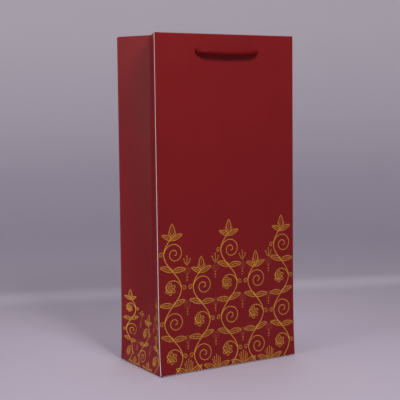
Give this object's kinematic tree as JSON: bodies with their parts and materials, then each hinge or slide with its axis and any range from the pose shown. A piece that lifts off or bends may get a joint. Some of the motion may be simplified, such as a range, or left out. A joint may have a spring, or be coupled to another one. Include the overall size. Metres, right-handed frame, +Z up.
{
  "type": "wine gift bag",
  "caption": "Tall paper gift bag for wine with creased gusset sides, a turned-in hem over stiffening cards, a base board and knotted cord handles pulled into the bag.",
  "frame": {"origin": "centre of the base, on the surface that the bag stands on", "axes": "+X along the width, front face towards -Y, +Z up"},
  "size_m": [0.18, 0.1082, 0.37],
  "materials": {
    "printed_paper": "satin",
    "white_paper": "matte",
    "grey_card": "matte",
    "crimson_cord": "matte",
    "gold_ink": "satin"
  },
  "bodies": {
    "base": {"base_board": "grey_card", "left_foot": "printed_paper", "right_foot": "printed_paper", "left_end_flap": "printed_paper", "right_end_flap": "printed_paper", "front_base_flap": "printed_paper", "back_base_flap": "printed_paper"},
    "front": {"front_panel": "printed_paper", "front_card": "grey_card", "front_hem": "printed_paper", "seam_flap": "white_paper", "front_left_cord_in_hole": "crimson_cord", "front_right_cord_in_hole": "crimson_cord"},
    "back": {"back_panel": "printed_paper", "back_card": "grey_card", "back_hem": "printed_paper", "back_left_cord_in_hole": "crimson_cord", "back_right_cord_in_hole": "crimson_cord"},
    "left_front_gusset": {"left_gusset_front": "printed_paper", "left_hem_front": "printed_paper"},
    "left_back_gusset": {"left_gusset_back": "printed_paper", "left_hem_back": "printed_paper"},
    "right_front_gusset": {"right_gusset_front": "printed_paper", "right_hem_front": "printed_paper"},
    "right_back_gusset": {"right_gusset_back": "printed_paper", "right_hem_back": "printed_paper"},
    "front_handle": {"front_handle_run": "crimson_cord"},
    "back_handle": {"back_handle_run": "crimson_cord"},
    "front_left_cord": {"front_left_tail": "crimson_cord", "front_left_knot": "crimson_cord"},
    "front_right_cord": {"front_right_tail": "crimson_cord", "front_right_knot": "crimson_cord"},
    "back_left_cord": {"back_left_tail": "crimson_cord", "back_left_knot": "crimson_cord"},
    "back_right_cord": {"back_right_tail": "crimson_cord", "back_right_knot": "crimson_cord"}
  },
  "joints": [
    {"name": "front_lean", "type": "hinge", "parent": "base", "child": "front", "pos_m": [0, -0.048, 0], "axis": [-1, 0, 0], "range_deg": [0, 2]},
    {"name": "back_lean", "type": "hinge", "parent": "base", "child": "back", "pos_m": [0, 0.048, 0], "axis": [1, 0, 0], "range_deg": [0, 2]},
    {"name": "left_front_fold", "type": "hinge", "parent": "front", "child": "left_front_gusset", "pos_m": [-0.09, -0.048, 0], "axis": [0, -0.0118, -0.9999], "range_deg": [0, 25.4]},
    {"name": "left_back_fold", "type": "hinge", "parent": "back", "child": "left_back_gusset", "pos_m": [-0.09, 0.048, 0], "axis": [0, -0.0118, 0.9999], "range_deg": [0, 25.4]},
    {"name": "right_front_fold", "type": "hinge", "parent": "front", "child": "right_front_gusset", "pos_m": [0.09, -0.048, 0], "axis": [0, 0.0118, 0.9999], "range_deg": [0, 25.4]},
    {"name": "right_back_fold", "type": "hinge", "parent": "back", "child": "right_back_gusset", "pos_m": [0.09, 0.048, 0], "axis": [0, 0.0118, -0.9999], "range_deg": [0, 25.4]},
    {"name": "front_handle_lift", "type": "hinge", "parent": "front", "child": "front_handle", "pos_m": [0, -0.04672, 0.351], "axis": [-1, 0, 0], "range_deg": [0, 90]},
    {"name": "back_handle_lift", "type": "hinge", "parent": "back", "child": "back_handle", "pos_m": [0, 0.04672, 0.351], "axis": [1, 0, 0], "range_deg": [0, 90]},
    {"name": "front_left_cord_swing", "type": "hinge", "parent": "front", "child": "front_left_cord", "pos_m": [-0.0375, -0.04012, 0.351], "axis": [0, -1, 0], "range_deg": [0, 15]},
    {"name": "front_right_cord_swing", "type": "hinge", "parent": "front", "child": "front_right_cord", "pos_m": [0.0375, -0.04012, 0.351], "axis": [0, 1, 0], "range_deg": [0, 15]},
    {"name": "back_left_cord_swing", "type": "hinge", "parent": "back", "child": "back_left_cord", "pos_m": [-0.0375, 0.04012, 0.351], "axis": [0, -1, 0], "range_deg": [0, 15]},
    {"name": "back_right_cord_swing", "type": "hinge", "parent": "back", "child": "back_right_cord", "pos_m": [0.0375, 0.04012, 0.351], "axis": [0, 1, 0], "range_deg": [0, 15]}
  ],
  "couplings": [
    {"joint": "back_lean", "follows": "front_lean", "ratio": 1},
    {"joint": "left_front_fold", "follows": "front_lean", "ratio": 12.7},
    {"joint": "left_back_fold", "follows": "front_lean", "ratio": 12.7},
    {"joint": "right_front_fold", "follows": "front_lean", "ratio": 12.7},
    {"joint": "right_back_fold", "follows": "front_lean", "ratio": 12.7}
  ]
}
